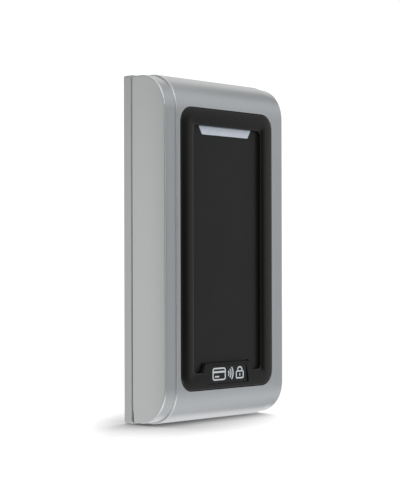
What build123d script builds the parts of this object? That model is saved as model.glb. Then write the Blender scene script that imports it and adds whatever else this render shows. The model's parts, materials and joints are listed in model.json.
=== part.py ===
from build123d import *
import os

# Wall-mounted RFID card reader, upright, in millimetres.
# X runs to the right seen from the front, the front faces -Y and +Z is up. The origin is
# the centre of the back plate's rear face, so the wall is the plane Y = 0 and every
# other face lies at a negative Y. "Rear" is towards the wall, "front" towards the user.

# ---- Driving dimensions -----------------------------------------------------------
HEIGHT = 150.0            # over the raised centre strip
WIDTH = 74.6
DEPTH = 26.0              # wall to the face of the centre strip
STEP = 0.7                # the centre strip stands this far above the side bands
BAND_WIDTH = 6.5          # each side band, before its side is crowned
BAND_EDGE = 0.7           # rounding of the bands' outer edges
STRIP_EDGE = 0.5          # rounding of the centre strip's edges
CORNER_RADIUS = 15.8      # front top and bottom corners of the centre strip
SIDE_CROWN = 0.5          # the side faces curve in by this much at the front
SIDE_CROWN_DEPTH = 10.5   # over this distance from the front
WALL = 2.5                # housing top and bottom walls
SIDE_WALL = 2.8
FRONT_WALL = 4.5          # housing wall round the window opening, at the centre strip
NOTCH_Z = -67.3           # top of the pry notches at the rear foot of the side walls
NOTCH_SLOPE = 0.9         # depth of a pry notch at the very bottom

PLATE_HEIGHT = 149.8
PLATE_DEPTH = 4.75        # back plate, wall to rim
PLATE_FLOOR = 2.0
PLATE_RIM = 2.4
PLATE_EDGE = 0.4          # rounding of the rim's front edge
RIB_FRONT = -3.6
RIB_THICKNESS = 1.2
RIB_X = (-15.0, 15.0)
RIB_Z = (28.0, -34.0)
PARTING_GAP = 0.6         # between the plate's rim and the housing

WINDOW_WIDTH = 57.5       # opening in the housing that the black insert fills
WINDOW_HEIGHT = 121.5
WINDOW_RADIUS = 6.8
INSERT_EDGE = 26.2        # depth of the insert's outer edge, just in front of the strip's face
INSERT_CROWN = 0.5        # the crest of the insert's border stands this far in front of its edge
CREST_INSET = 3.2         # from the insert's edge to the crest
CREST_SLOPE = 2.0         # width of the slope from the crest down to the recess
CREST_DROP = 0.3          # fall of that slope
RECESS_WIDTH = 42.0
RECESS_HEIGHT = 106.0
RECESS_RADIUS = 1.5
RECESS_FLOOR = 24.6       # depth of the panel's face from the wall
PANEL_THICKNESS = 0.6
INSERT_FLOOR = 1.6
FLANGE_WIDTH = 64.0       # insert's flange behind the housing wall
FLANGE_HEIGHT = 125.5

GUIDE_TOP_WIDTH = 32.4    # light guide and tab are the same trapezoid, one up, one down
GUIDE_LOW_WIDTH = 28.6
GUIDE_HEIGHT = 3.5
GUIDE_REAR = -18.3
TAB_HEIGHT = 3.9
TAB_FRONT_HIGH = 26.15    # depth of the tab's face at its upper and lower edges
TAB_FRONT_LOW = 26.45
TAB_GROOVE = 0.4          # open line in the film round the tab
BADGE_TOP = -50.4
BADGE_LOW = -58.2
BADGE_TOP_WIDTH = 22.6
BADGE_LOW_WIDTH = 25.0
BADGE_FACE = 26.1
BADGE_SEAT = 25.4

FIT = 0.15                # play between pieces that drop into each other
BODY_GAP = 0.3            # least distance between pieces of different bodies

SCREW_HOLE_SPACING_X = 46.0
SCREW_HOLE_SPACING_Z = 120.0
WALL_BOX_SPACING = 60.0
SCREW_HOLE_RADIUS = 2.25
BOX_HOLE_RADIUS = 2.0
CABLE_WIDTH = 24.0
CABLE_HEIGHT = 14.0
CABLE_Z = -17.0           # centre of the cable entry

PIVOT_Y = -6.0            # hook axis at the top, along X
PIVOT_Z = 72.3
PIN_RADIUS = 1.2
HOOK_ARM = 1.9            # thickness of the arm that carries each pin
PIN_PLAY = 0.05
HOOK_X = 20.0             # centre of each hook
HOOK_WIDTH = 12.0

LOCK_Y = -9.8             # axis of the locking screw, along Z
LOCK_BOSS_RADIUS = 4.6
LOCK_BOSS_TOP = -62.0
LOCK_BORE_TOP = -68.0     # end of the counterbore that hides the screw's head
LOCK_BORE_RADIUS = 3.1
LOCK_INSERT_TOP = -62.9
LOCK_INSERT_LENGTH = 5.0
LOCK_SCREW_RADIUS = 1.45
TONGUE_Z = -60.8          # underside of the tongue on the plate
TONGUE_THICKNESS = 2.5
TONGUE_WIDTH = 14.0

PLUNGER_X = 22.0          # tamper plunger, along Y
PLUNGER_Z = -4.0
PLUNGER_RADIUS = 1.5
PLUNGER_TRAVEL = 1.5

COVER_FRONT = -9.0        # rear cover
COVER_REAR = -7.0
COVER_TOP = 68.8
COVER_LOW = -71.5
GASKET_THICKNESS = 0.6
BAY_WIDTH = 20.6          # pocket behind the cover line that the tongue enters
BAY_WALL = 1.5
BAY_TOP = -55.8
BAY_FRONT = -17.5

BOARD_FRONT = -16.8
BOARD_REAR = -15.2
BOARD_WIDTH = 60.0
BOARD_TOP = 54.0
BOARD_LOW = -52.5
BOARD_PILLARS = [(-14, 28), (14, 28), (-14, -36), (14, -36)]
COVER_BOSSES = [(-29, 66), (29, 66), (-29, -66), (29, -66)]
INSERT_SCREWS = [(side * 30.4, z) for side in (-1, 1) for z in (-54, -18, 18, 54)]
LED_X = (-9.0, 0.0, 9.0)
LEAD_X = (-1.5, 1.5)      # antenna leads, from the coil's top run to the board
LEAD_Z = 40.2
ANTENNA_Z = -4.5          # centre of the antenna
ANTENNA_WIDTH = 50.0
ANTENNA_HEIGHT = 92.0
COIL_INNER_WIDTH = 42.8
COIL_INNER_HEIGHT = 84.8
COIL_REAR = -19.9
FERRITE_REAR = -19.1
FERRITE_FRONT = -19.6

# Centres (x, z) of the components on the board.
CONTROLLER_PLACE = (4, 14)
RF_CHIP_PLACE = (-8, 34)
INTERFACE_PLACE = (6, -18)
CRYSTAL_PLACE = (-9, 18)
REGULATOR_PLACE = (-22, -14)
CAPACITOR_PLACE = (-7, -14)
BUZZER_PLACE = (18, 42)
FIRST_TUNING_CAPACITOR = (-24, 28)
FIRST_RESISTOR = (14.5, 8)
DIODE_X = (-7.5, 0.0, 7.5)
DIODE_Z = -29.5
TERMINAL_COUNT = 8
TERMINAL_PITCH = 3.5
TERMINAL_Z = -43.0
TERMINAL_HEIGHT = 7.6

# ---- Values that follow from them -------------------------------------------------
STRIP_HALF = WIDTH / 2 - BAND_WIDTH
HOUSING_REAR = -(PLATE_DEPTH + PARTING_GAP)
RIDGE_FRONT = COVER_REAR + BODY_GAP
INNER_FRONT = -(DEPTH - FRONT_WALL)
INNER_HALF_WIDTH = WIDTH / 2 - SIDE_WALL
BAND_HALF_HEIGHT = HEIGHT / 2 - STEP
INNER_HALF_HEIGHT = BAND_HALF_HEIGHT - WALL
SEAL_REAR = INNER_FRONT + 0.6
FLANGE_REAR = SEAL_REAR + 1.6
PANEL_BACK = -RECESS_FLOOR + PANEL_THICKNESS
INSERT_BACK = PANEL_BACK + INSERT_FLOOR
CREST = INSERT_EDGE + INSERT_CROWN
GUIDE_TOP = RECESS_HEIGHT / 2
RECESS_LOW = -RECESS_HEIGHT / 2
PIN_BORE = PIN_RADIUS + PIN_PLAY


# ---- Helpers ----------------------------------------------------------------------
def front_plane(y):
    """Sketch plane at depth y facing the front, X to the right and Z up."""
    return Plane(origin=(0, y, 0), x_dir=(1, 0, 0), z_dir=(0, -1, 0))


def slab(sketch, y_rear, y_front):
    """Front-view sketch, extruded forwards from y_rear to y_front."""
    return extrude(front_plane(y_rear) * sketch, amount=y_rear - y_front)


def block(x, y, z):
    """Box given by its (low, high) pairs."""
    centre = [(low + high) / 2 for low, high in (x, y, z)]
    return Pos(*centre) * Box(x[1] - x[0], y[1] - y[0], z[1] - z[0])


def rod_y(x, z, y_rear, y_front, radius):
    """Round bar along Y."""
    return slab(Pos(x, z) * Circle(radius), y_rear, y_front)


def rod_z(x, y, z_low, z_high, radius):
    """Round bar along Z."""
    return Pos(x, y, (z_low + z_high) / 2) * Cylinder(radius, z_high - z_low)


def rod_x(x_low, x_high, y, z, radius):
    """Round bar along X."""
    bar = Rot(0, 90, 0) * Cylinder(radius, x_high - x_low)
    return Pos((x_low + x_high) / 2, y, z) * bar


def side_profile(half_height, front, radius, rear, width):
    """Side-view rectangle with rounded front corners, carried across the width."""
    outline = Plane.YZ * Pos(-(front + rear) / 2, 0) * Rectangle(front - rear, 2 * half_height)
    outline = fillet(outline.vertices().sort_by(Axis.Y)[:2], radius)
    return extrude(outline, amount=width / 2, both=True)


def soften_sides(solid, half_width, rear, radius):
    """Round the two outer side edges of a side_profile solid, all but the rear ones."""
    edges = [
        edge for edge in solid.edges()
        if abs(edge.center().X) > half_width - SIDE_CROWN - 0.1
        and edge.center().Y < -rear - 0.01
        and not on_flat_side(edge, half_width)
    ]
    return fillet(edges, radius)


def on_flat_side(edge, half_width):
    """Whether an edge runs along the line where a side face starts to curve in."""
    start = -(DEPTH - STEP) + SIDE_CROWN_DEPTH
    return abs(edge.center().Y - start) < 0.01 and abs(abs(edge.center().X) - half_width) < 0.01


def crowned_plan(half_width, front):
    """Plan-view outline: flat sides that curve in towards the front."""
    start = -front + SIDE_CROWN_DEPTH
    inner = half_width - SIDE_CROWN
    outline = Line((half_width, 0), (half_width, start))
    outline += TangentArc((half_width, start), (inner, -front), tangent=(0, -1))
    outline += Polyline((inner, -front), (inner, -front - 1), (-inner, -front - 1), (-inner, -front))
    outline += TangentArc((-half_width, start), (-inner, -front), tangent=(0, -1))
    outline += Polyline((-half_width, start), (-half_width, 0), (half_width, 0))
    return make_face(outline)


def trapezoid(z_high, high_width, z_low, low_width):
    """Front-view trapezoid, symmetrical about X = 0."""
    return make_face(Polyline(
        (-high_width / 2, z_high), (high_width / 2, z_high),
        (low_width / 2, z_low), (-low_width / 2, z_low), close=True,
    ))


def pan_screw(x, z, y_seat, length, radius, head_radius, head_height):
    """Cross-head screw driven from the rear: head behind y_seat, shank in front of it."""
    head = rod_y(x, z, y_seat + head_height, y_seat, head_radius)
    head = fillet(head.edges().sort_by(Axis.Y)[-1:], head_height * 0.35)
    slot = head_radius * 0.7
    depth = (y_seat + head_height * 0.45, y_seat + head_height + 0.1)
    head -= block((x - slot, x + slot), depth, (z - 0.25, z + 0.25))
    head -= block((x - 0.25, x + 0.25), depth, (z - slot, z + slot))
    return head + rod_y(x, z, y_seat, y_seat - length, radius)


def save(name, solid):
    """Write one node."""
    export_step(solid, f"parts/{name}.step")


# ---- Back plate -------------------------------------------------------------------
def plate_screw_holes():
    """Four wall screws in a rectangle and two for a flush wall box."""
    holes = []
    for x in (-SCREW_HOLE_SPACING_X / 2, SCREW_HOLE_SPACING_X / 2):
        for z in (-SCREW_HOLE_SPACING_Z / 2, SCREW_HOLE_SPACING_Z / 2):
            holes.append(rod_y(x, z, 1, -PLATE_DEPTH, SCREW_HOLE_RADIUS))
    for x in (-WALL_BOX_SPACING / 2, WALL_BOX_SPACING / 2):
        holes.append(rod_y(x, 0, 1, -PLATE_DEPTH, BOX_HOLE_RADIUS))
    return holes


def plate_ribs():
    """Low stiffening ribs on the tray's floor, clear of every hole."""
    ribs = []
    half = RIB_THICKNESS / 2
    depth = (RIB_FRONT, -PLATE_FLOOR + 0.1)
    for x in RIB_X:
        for span in ((4, 68), (-70, -28)):
            ribs.append(block((x - half, x + half), depth, span))
    for z in RIB_Z:
        ribs.append(block((-INNER_HALF_WIDTH, INNER_HALF_WIDTH), depth, (z - half, z + half)))
    return ribs


def plate_upstands():
    """Locating ridges just inside the housing's side and bottom walls."""
    side = INNER_HALF_WIDTH - BODY_GAP
    low = -INNER_HALF_HEIGHT + BODY_GAP
    depth = (RIDGE_FRONT, -PLATE_FLOOR + 0.1)
    ridges = []
    for sign in (-1, 1):
        x = sorted((sign * (side - RIB_THICKNESS), sign * side))
        ridges.append(block(x, depth, (-56, 56)))
        x = sorted((sign * 13, sign * 22))
        ridges.append(block(x, depth, (low, low + RIB_THICKNESS)))
    return ridges


def plate_hooks():
    """Two hooks with round pins that the housing hangs and tilts on."""
    hooks = []
    for sign in (-1, 1):
        x = (sign * HOOK_X - HOOK_WIDTH / 2, sign * HOOK_X + HOOK_WIDTH / 2)
        arm = (PIVOT_Z - HOOK_ARM / 2, PIVOT_Z + HOOK_ARM / 2)
        hooks.append(block(x, (PIVOT_Y, -PLATE_DEPTH + 1), arm))
        hooks.append(rod_x(x[0], x[1], PIVOT_Y, PIVOT_Z, PIN_RADIUS))
    return hooks


def make_back_plate():
    plate = slab(RectangleRounded(WIDTH, PLATE_HEIGHT, 1.0), 0, -PLATE_DEPTH)
    rim_edges = plate.faces().sort_by(Axis.Y)[0].edges()
    plate = fillet(rim_edges, PLATE_EDGE)
    tray = RectangleRounded(WIDTH - 2 * PLATE_RIM, PLATE_HEIGHT - 2 * PLATE_RIM, 1.5)
    plate -= slab(tray, -PLATE_FLOOR, -PLATE_DEPTH - 1)
    for piece in plate_ribs() + plate_upstands() + plate_hooks():
        plate += piece
    tongue_x = (-TONGUE_WIDTH / 2, TONGUE_WIDTH / 2)
    tongue_z = (TONGUE_Z, TONGUE_Z + TONGUE_THICKNESS)
    plate += block(tongue_x, (LOCK_Y - 3.8, -PLATE_FLOOR + 0.1), tongue_z)
    plate += block(tongue_x, (-PLATE_DEPTH, -PLATE_FLOOR + 0.1), (tongue_z[1] - 0.1, -50))
    plate -= rod_z(0, LOCK_Y, TONGUE_Z - 1, TONGUE_Z + TONGUE_THICKNESS + 1, 1.8)
    for hole in plate_screw_holes():
        plate -= hole
    cable = Pos(0, CABLE_Z) * RectangleRounded(CABLE_WIDTH, CABLE_HEIGHT, 4)
    plate -= slab(cable, 1, -PLATE_DEPTH)
    plate -= rod_y(PLUNGER_X, PLUNGER_Z, 1, -PLATE_DEPTH, PLUNGER_RADIUS + 0.7)
    return plate


def make_cable_grommet():
    """Rubber liner of the cable entry, with a front lip that rests on the tray's floor."""
    centre = Pos(0, CABLE_Z)
    sleeve = slab(centre * RectangleRounded(CABLE_WIDTH, CABLE_HEIGHT, 4), -0.2, -3.2)
    lip = slab(centre * RectangleRounded(CABLE_WIDTH + 2.4, CABLE_HEIGHT + 2.4, 5), -PLATE_FLOOR, -3.2)
    bore = RectangleRounded(CABLE_WIDTH - 3, CABLE_HEIGHT - 3, 2.5)
    return sleeve + lip - slab(centre * bore, 1, -4)


# ---- Housing ----------------------------------------------------------------------
def housing_shell():
    """Stepped outer shape, hollowed from the rear, with the window opening."""
    rear = -HOUSING_REAR
    bands = side_profile(BAND_HALF_HEIGHT, DEPTH - STEP, CORNER_RADIUS - STEP, rear, WIDTH)
    bands &= extrude(crowned_plan(WIDTH / 2, DEPTH - STEP), amount=HEIGHT, both=True)
    bands = soften_sides(bands, WIDTH / 2, rear, BAND_EDGE)
    strip = side_profile(HEIGHT / 2, DEPTH, CORNER_RADIUS, rear, 2 * STRIP_HALF)
    strip = soften_sides(strip, STRIP_HALF, rear, STRIP_EDGE)
    cavity = side_profile(INNER_HALF_HEIGHT, -INNER_FRONT, 9.0, 0, 2 * INNER_HALF_WIDTH)
    window = RectangleRounded(WINDOW_WIDTH, WINDOW_HEIGHT, WINDOW_RADIUS)
    return bands + strip - cavity - slab(window, INNER_FRONT + 1, -DEPTH - 1)


def cover_outline(margin):
    """Rear cover's outline, notched for the lock bay and shrunk by margin."""
    half = INNER_HALF_WIDTH - 0.3 - margin
    sheet = Pos(0, (COVER_TOP + COVER_LOW) / 2) * Rectangle(2 * half, COVER_TOP - COVER_LOW - 2 * margin)
    notch_top = BAY_TOP + 0.3 + margin
    notch = Pos(0, notch_top - 15) * Rectangle(BAY_WIDTH + 0.6 + 2 * margin, 30)
    return sheet - notch


def cover_ledge():
    """Step inside the walls that the cover and its gasket close against."""
    seat = COVER_FRONT - GASKET_THICKNESS
    outer = Rectangle(2 * INNER_HALF_WIDTH + 0.4, 2 * INNER_HALF_HEIGHT + 0.4)
    ring = outer - cover_outline(1.7)
    return slab(ring, seat, seat - 1.6) & block(
        (-INNER_HALF_WIDTH - 0.2, INNER_HALF_WIDTH + 0.2), (-20, 0),
        (-INNER_HALF_HEIGHT - 0.2, INNER_HALF_HEIGHT + 0.2),
    )


def lock_bay():
    """Pocket open to the rear, with the boss that carries the locking screw."""
    low = -INNER_HALF_HEIGHT - 0.2
    half = BAY_WIDTH / 2
    outer = block((-half, half), (BAY_FRONT, COVER_REAR), (low, BAY_TOP))
    hollow = block((-half + BAY_WALL, half - BAY_WALL), (BAY_FRONT + BAY_WALL, 0), (low, BAY_TOP - BAY_WALL))
    boss = rod_z(0, LOCK_Y, low, LOCK_BOSS_TOP, LOCK_BOSS_RADIUS)
    return outer, hollow, boss


def hook_cradles():
    """Thickened stretches of the top wall, bored and slotted for the plate's hooks."""
    solids = []
    cuts = []
    half = HOOK_WIDTH / 2
    for sign in (-1, 1):
        x = (sign * HOOK_X - half, sign * HOOK_X + half)
        solids.append(block(
            (x[0] - 2, x[1] + 2), (PIVOT_Y - 3.0, HOUSING_REAR), (PIVOT_Z - 2.5, INNER_HALF_HEIGHT + 0.2)
        ))
        room = (x[0] - BODY_GAP, x[1] + BODY_GAP)
        cuts.append(rod_x(room[0], room[1], PIVOT_Y, PIVOT_Z, PIN_BORE))
        cuts.append(block(room, (PIVOT_Y, 0), (PIVOT_Z - 1.5, PIVOT_Z + 1.25)))
    return solids, cuts


def pry_notch(sign):
    """Small wedge at the rear foot of one side wall, for a screwdriver blade."""
    wedge = Plane.YZ * make_face(Polyline(
        (HOUSING_REAR, NOTCH_Z), (HOUSING_REAR - NOTCH_SLOPE, -HEIGHT / 2),
        (HOUSING_REAR + 1, -HEIGHT / 2), (HOUSING_REAR + 1, NOTCH_Z), close=True,
    ))
    x = sign * (WIDTH / 2 + INNER_HALF_WIDTH) / 2
    return Pos(x, 0, 0) * extrude(wedge, amount=SIDE_WALL / 2 + 0.01, both=True)


def make_housing():
    shell = housing_shell()
    shell += cover_ledge()
    for x, z in COVER_BOSSES:
        shell += rod_y(x, z, COVER_FRONT - GASKET_THICKNESS, INNER_FRONT, 3.2)
    bay, hollow, boss = lock_bay()
    shell += bay
    shell -= hollow
    shell += boss
    cradles, cuts = hook_cradles()
    for piece in cradles:
        shell += piece
    for cut in cuts:
        shell -= cut
    shell -= rod_z(0, LOCK_Y, -HEIGHT / 2 - 1, LOCK_BORE_TOP, LOCK_BORE_RADIUS)
    shell -= rod_z(0, LOCK_Y, LOCK_BORE_TOP - 0.5, TONGUE_Z, 2.3)
    for x, z in COVER_BOSSES:
        shell -= rod_y(x, z, 0, COVER_FRONT - 8, 1.25)
    for x, z in INSERT_SCREWS:
        shell -= rod_y(x, z, 0, INNER_FRONT - 2.6, 1.0)
    for sign in (-1, 1):
        shell -= pry_notch(sign)
    return shell


# ---- Window insert ----------------------------------------------------------------
def tab_wedge():
    """Raised tab at the foot of the recess: it runs down from the border's inner edge."""
    top = RECESS_LOW + TAB_HEIGHT
    prism = slab(trapezoid(top, GUIDE_LOW_WIDTH, RECESS_LOW - 0.2, GUIDE_TOP_WIDTH), PANEL_BACK, -DEPTH - 1)
    slope = Plane.YZ * make_face(Polyline(
        (PANEL_BACK, top), (-TAB_FRONT_HIGH, top),
        (-TAB_FRONT_LOW, RECESS_LOW - 0.2), (PANEL_BACK, RECESS_LOW - 0.2), close=True,
    ))
    return prism & extrude(slope, amount=20, both=True)


def badge_sketch(play):
    """Outline of the badge, grown by play on every side."""
    return trapezoid(
        BADGE_TOP + play, BADGE_TOP_WIDTH + 2 * play, BADGE_LOW - play, BADGE_LOW_WIDTH + 2 * play
    )


def border_block(width, height, radius):
    """Insert's outer body with a crowned front border, drawn as two sloped rings."""
    body = slab(RectangleRounded(width, height, radius), FLANGE_REAR, -INSERT_EDGE)
    crest = front_plane(-CREST) * RectangleRounded(
        width - 2 * CREST_INSET, height - 2 * CREST_INSET, radius - CREST_INSET + 0.4
    )
    crown = loft([front_plane(-INSERT_EDGE) * RectangleRounded(width, height, radius), crest])
    return body + crown


def recess_cut():
    """Recess with its inner border sloping down to it."""
    recess = RectangleRounded(RECESS_WIDTH, RECESS_HEIGHT, RECESS_RADIUS)
    slope_end = -CREST + CREST_DROP
    widened = RectangleRounded(
        RECESS_WIDTH + 2 * CREST_SLOPE, RECESS_HEIGHT + 2 * CREST_SLOPE, RECESS_RADIUS + CREST_SLOPE
    )
    slope = loft([front_plane(slope_end) * recess, front_plane(-CREST - 0.001) * widened])
    return slab(recess, PANEL_BACK, slope_end) + slope


def make_insert_frame():
    width = WINDOW_WIDTH - 2 * FIT
    height = WINDOW_HEIGHT - 2 * FIT
    insert = border_block(width, height, WINDOW_RADIUS - FIT)
    insert += slab(RectangleRounded(FLANGE_WIDTH, FLANGE_HEIGHT, 4), FLANGE_REAR, SEAL_REAR)
    insert -= recess_cut()
    insert -= slab(RectangleRounded(width - 4, height - 4, 5), FLANGE_REAR + 1, INSERT_BACK)
    insert += tab_wedge()
    insert -= slab(badge_sketch(FIT), -BADGE_SEAT, -CREST - 1)
    for x, z in BOARD_PILLARS:
        insert += rod_y(x, z, BOARD_FRONT, INSERT_BACK - 0.1, 2.5)
        insert -= rod_y(x, z, BOARD_FRONT + 1, INSERT_BACK - 0.8, 1.0)
    guide = trapezoid(GUIDE_TOP, GUIDE_TOP_WIDTH, GUIDE_TOP - GUIDE_HEIGHT, GUIDE_LOW_WIDTH)
    insert -= slab(offset(guide, 0.1, kind=Kind.INTERSECTION), 0, PANEL_BACK - 0.1)
    for x, z in INSERT_SCREWS:
        insert -= rod_y(x, z, 0, SEAL_REAR - 1, 1.1)
    return insert


def make_insert_seal():
    ring = RectangleRounded(FLANGE_WIDTH - 0.4, FLANGE_HEIGHT - 0.4, 4)
    ring -= RectangleRounded(WINDOW_WIDTH + 0.4, WINDOW_HEIGHT + 0.4, 7)
    seal = slab(ring, SEAL_REAR, INNER_FRONT)
    for x, z in INSERT_SCREWS:
        seal -= rod_y(x, z, 0, INNER_FRONT - 1, 1.2)
    return seal


def make_insert_screws():
    screws = [pan_screw(x, z, FLANGE_REAR, 4.6, 0.98, 1.6, 1.2) for x, z in INSERT_SCREWS]
    return Compound(screws)


def make_face_panel():
    """Film on the recess floor, cut out round the light guide and the tab."""
    sheet = RectangleRounded(RECESS_WIDTH - 0.2, RECESS_HEIGHT - 0.2, RECESS_RADIUS - 0.1)
    panel = slab(sheet, PANEL_BACK, -RECESS_FLOOR)
    beyond = 2
    flare = GUIDE_TOP_WIDTH - GUIDE_LOW_WIDTH
    guide_top_width = GUIDE_TOP_WIDTH + flare * beyond / GUIDE_HEIGHT
    tab_low_width = GUIDE_TOP_WIDTH + flare * beyond / TAB_HEIGHT
    guide = trapezoid(GUIDE_TOP + beyond, guide_top_width, GUIDE_TOP - GUIDE_HEIGHT, GUIDE_LOW_WIDTH)
    tab = trapezoid(RECESS_LOW + TAB_HEIGHT, GUIDE_LOW_WIDTH, RECESS_LOW - beyond, tab_low_width)
    for cut, play in ((guide, 0.1), (tab, TAB_GROOVE)):
        panel -= slab(offset(cut, play, kind=Kind.INTERSECTION), 0, -DEPTH)
    return panel


def make_badge_plate():
    return slab(badge_sketch(0), -BADGE_SEAT, -BADGE_FACE)


def make_light_guide():
    sketch = trapezoid(GUIDE_TOP - 0.02, GUIDE_TOP_WIDTH, GUIDE_TOP - GUIDE_HEIGHT, GUIDE_LOW_WIDTH)
    return slab(sketch, GUIDE_REAR, -RECESS_FLOOR)


def make_light_shield():
    centre = Pos(0, GUIDE_TOP - GUIDE_HEIGHT / 2)
    ring = centre * Rectangle(36, 6.2) - centre * Rectangle(33.2, 4.2)
    return slab(ring, BOARD_FRONT - 0.05, INSERT_BACK + 0.05)


# ---- Antenna ----------------------------------------------------------------------
def antenna_frame(width, height, radius, bar, inner_radius):
    """Front-view frame round the antenna's centre; bar is the width of its sides."""
    outer = RectangleRounded(width, height, radius)
    return Pos(0, ANTENNA_Z) * (outer - RectangleRounded(width - 2 * bar, height - 2 * bar, inner_radius))


def make_coil_former():
    """Flat frame with an upright wall that the turns are wound round."""
    base = antenna_frame(ANTENNA_WIDTH, ANTENNA_HEIGHT, 5, 6, 3)
    wall = antenna_frame(COIL_INNER_WIDTH - 0.2, COIL_INNER_HEIGHT - 0.2, 3.4, 1.3, 3)
    return slab(base, INSERT_BACK + 1.2, INSERT_BACK + 0.2) + slab(wall, COIL_REAR + 0.2, INSERT_BACK + 1.1)


def make_antenna_coil():
    turns = antenna_frame(COIL_INNER_WIDTH + 6.2, COIL_INNER_HEIGHT + 6.2, 5, 3.1, 3.5)
    return slab(turns, COIL_REAR, INSERT_BACK + 1.25)


def make_ferrite_sheet():
    outline = Pos(0, ANTENNA_Z) * RectangleRounded(ANTENNA_WIDTH - 0.4, ANTENNA_HEIGHT - 0.4, 3)
    sheet = slab(outline, FERRITE_REAR, FERRITE_FRONT)
    for x, z in BOARD_PILLARS:
        sheet -= rod_y(x, z, 0, -DEPTH, 2.8)
    for x in LEAD_X:
        sheet -= rod_y(x, LEAD_Z, 0, -DEPTH, 0.6)
    return sheet


def make_antenna_leads():
    """Two wires from the coil through the ferrite sheet to the board."""
    leads = [rod_y(x, LEAD_Z, BOARD_FRONT - 0.05, COIL_REAR + 0.05, 0.35) for x in LEAD_X]
    return Compound(leads)


# ---- Board and components ---------------------------------------------------------
def on_board(x, z, width, height, thickness, stand=0.0):
    """Block on the board's rear face, centred at x, z and stand above it."""
    y = (BOARD_REAR + stand, BOARD_REAR + stand + thickness)
    return block((x - width / 2, x + width / 2), y, (z - height / 2, z + height / 2))


def make_main_board():
    centre = Pos(0, (BOARD_TOP + BOARD_LOW) / 2)
    board = slab(centre * RectangleRounded(BOARD_WIDTH, BOARD_TOP - BOARD_LOW, 2), BOARD_REAR, BOARD_FRONT)
    for x, z in BOARD_PILLARS:
        board -= rod_y(x, z, 0, -20, 1.3)
    return board


def make_board_screws():
    return Compound([pan_screw(x, z, BOARD_REAR, 5.2, 0.98, 2.1, 1.5) for x, z in BOARD_PILLARS])


def leaded_chip(x, z, width, height, thickness, count, pitch):
    """Chip body on flat legs along its two vertical sides."""
    body = on_board(x, z, width, height, thickness, 0.1)
    chip = chamfer(body.faces().sort_by(Axis.Y)[-1].edges(), 0.15)
    for side in (-1, 1):
        for index in range(count):
            leg_z = z + (index - (count - 1) / 2) * pitch
            inner = x + side * (width / 2 - 0.2)
            outer = x + side * (width / 2 + 1.0)
            span = (min(inner, outer), max(inner, outer))
            y = (BOARD_REAR, BOARD_REAR + 0.3)
            chip += block(span, y, (leg_z - pitch * 0.22, leg_z + pitch * 0.22))
    return chip


def make_controller_chip():
    return leaded_chip(*CONTROLLER_PLACE, 8, 10, 1.4, 12, 0.8)


def make_rf_chip():
    return leaded_chip(*RF_CHIP_PLACE, 5.3, 7, 1.2, 8, 0.8)


def make_interface_chip():
    return leaded_chip(*INTERFACE_PLACE, 4, 5, 1.4, 4, 1.27)


def make_crystal():
    can = slab(Pos(*CRYSTAL_PLACE) * SlotOverall(11, 4.6), BOARD_REAR + 3.4, BOARD_REAR)
    return fillet(can.faces().sort_by(Axis.Y)[-1].edges(), 0.5)


def make_voltage_regulator():
    x, z = REGULATOR_PLACE
    body = on_board(x, z, 6.4, 6.0, 2.2, 0.1)
    tab = on_board(x, z + 4.2, 5.4, 2.6, 0.5)
    legs = [on_board(x + side * 2.3, z - 4.2, 0.8, 2.6, 0.5) for side in (-1, 1)]
    for piece in [tab] + legs:
        body += piece
    return body


def make_power_capacitor():
    """Upright aluminium capacitor on a square base."""
    base = on_board(*CAPACITOR_PLACE, 6.6, 6.6, 1.0)
    can = rod_y(*CAPACITOR_PLACE, BOARD_REAR + 5.6, BOARD_REAR + 0.9, 3.15)
    can = fillet(can.edges().sort_by(Axis.Y)[-1:], 0.4)
    return base + can


def make_tuning_capacitors():
    x, z = FIRST_TUNING_CAPACITOR
    pieces = []
    for column in range(2):
        for row in range(3):
            pieces.append(on_board(x + 3.4 * column, z + 2.6 * row, 2.0, 1.25, 0.9))
    return Compound(pieces)


def make_resistors():
    x, z = FIRST_RESISTOR
    pieces = []
    for column in range(5):
        for row in range(2):
            pieces.append(on_board(x + 2.6 * column, z + 3 * row, 1.25, 2.0, 0.5))
    return Compound(pieces)


def make_protection_diodes():
    return Compound([on_board(x, DIODE_Z, 3.6, 4.4, 2.2) for x in DIODE_X])


def make_buzzer():
    """Round sounder with a port in the middle of its rear face."""
    can = rod_y(*BUZZER_PLACE, BOARD_REAR + 5.2, BOARD_REAR, 5.8)
    can = fillet(can.edges().sort_by(Axis.Y)[-1:], 0.5)
    return can - rod_y(*BUZZER_PLACE, 0, BOARD_REAR + 4.2, 0.9)


def terminal_x(index):
    """Centre of one terminal."""
    return (index - (TERMINAL_COUNT - 1) / 2) * TERMINAL_PITCH


def make_terminal_block():
    """Eight-way block: a screw well at the rear and a wire entry on top of each way."""
    length = TERMINAL_COUNT * TERMINAL_PITCH + 0.6
    body = on_board(0, TERMINAL_Z, length, TERMINAL_HEIGHT, 7.8)
    body = chamfer(body.edges().filter_by(Axis.X).sort_by(Axis.Y)[-2:], 0.8)
    rear = BOARD_REAR + 7.8
    top = TERMINAL_Z + TERMINAL_HEIGHT / 2
    for index in range(TERMINAL_COUNT):
        x = terminal_x(index)
        body -= rod_y(x, TERMINAL_Z, rear + 1, rear - 4.6, 1.35)
        entry_y = (BOARD_REAR + 1.4, BOARD_REAR + 4.0)
        body -= block((x - 1.25, x + 1.25), entry_y, (TERMINAL_Z - 1.8, top + 1))
    return body


def make_terminal_screws():
    screws = []
    for index in range(TERMINAL_COUNT):
        x = terminal_x(index)
        head = rod_y(x, TERMINAL_Z, -9.0, -11.0, 1.3)
        head -= block((x - 1.4, x + 1.4), (-9.7, -8.9), (TERMINAL_Z - 0.2, TERMINAL_Z + 0.2))
        screws.append(head)
    return Compound(screws)


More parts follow.
